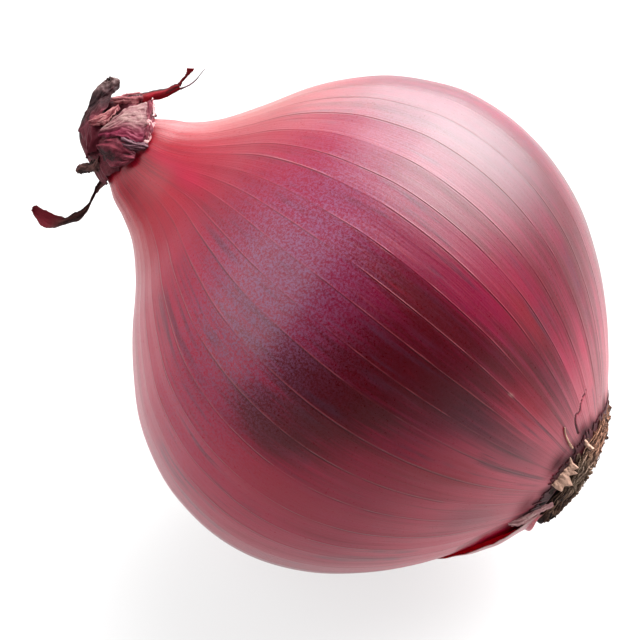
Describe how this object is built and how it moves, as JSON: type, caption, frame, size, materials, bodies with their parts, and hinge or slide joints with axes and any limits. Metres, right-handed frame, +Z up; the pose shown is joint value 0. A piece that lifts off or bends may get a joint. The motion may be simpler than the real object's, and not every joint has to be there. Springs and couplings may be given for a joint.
{
  "type": "red onion",
  "caption": "Whole red onion lying on its side, with a tapered neck, a crumpled dry tip with loose strips, and a corky root end.",
  "frame": {"origin": "middle of the small flat spot that it rests on", "axes": "+Z up from the surface it lies on; the axis from root plate to neck points along -X and rises 26.8 degrees"},
  "size_m": [0.0943, 0.0803, 0.078],
  "materials": {
    "bulb": "thin glossy red-purple onion skin with fine pale lengthwise veins",
    "dry_neck": "papery, crumpled, brown-purple dry skin",
    "root_plate": "dull corky tan and brown root stubs"
  },
  "bodies": {
    "root": {"bulb": "bulb", "dry_neck": "dry_neck", "root_plate": "root_plate"}
  },
  "joints": []
}
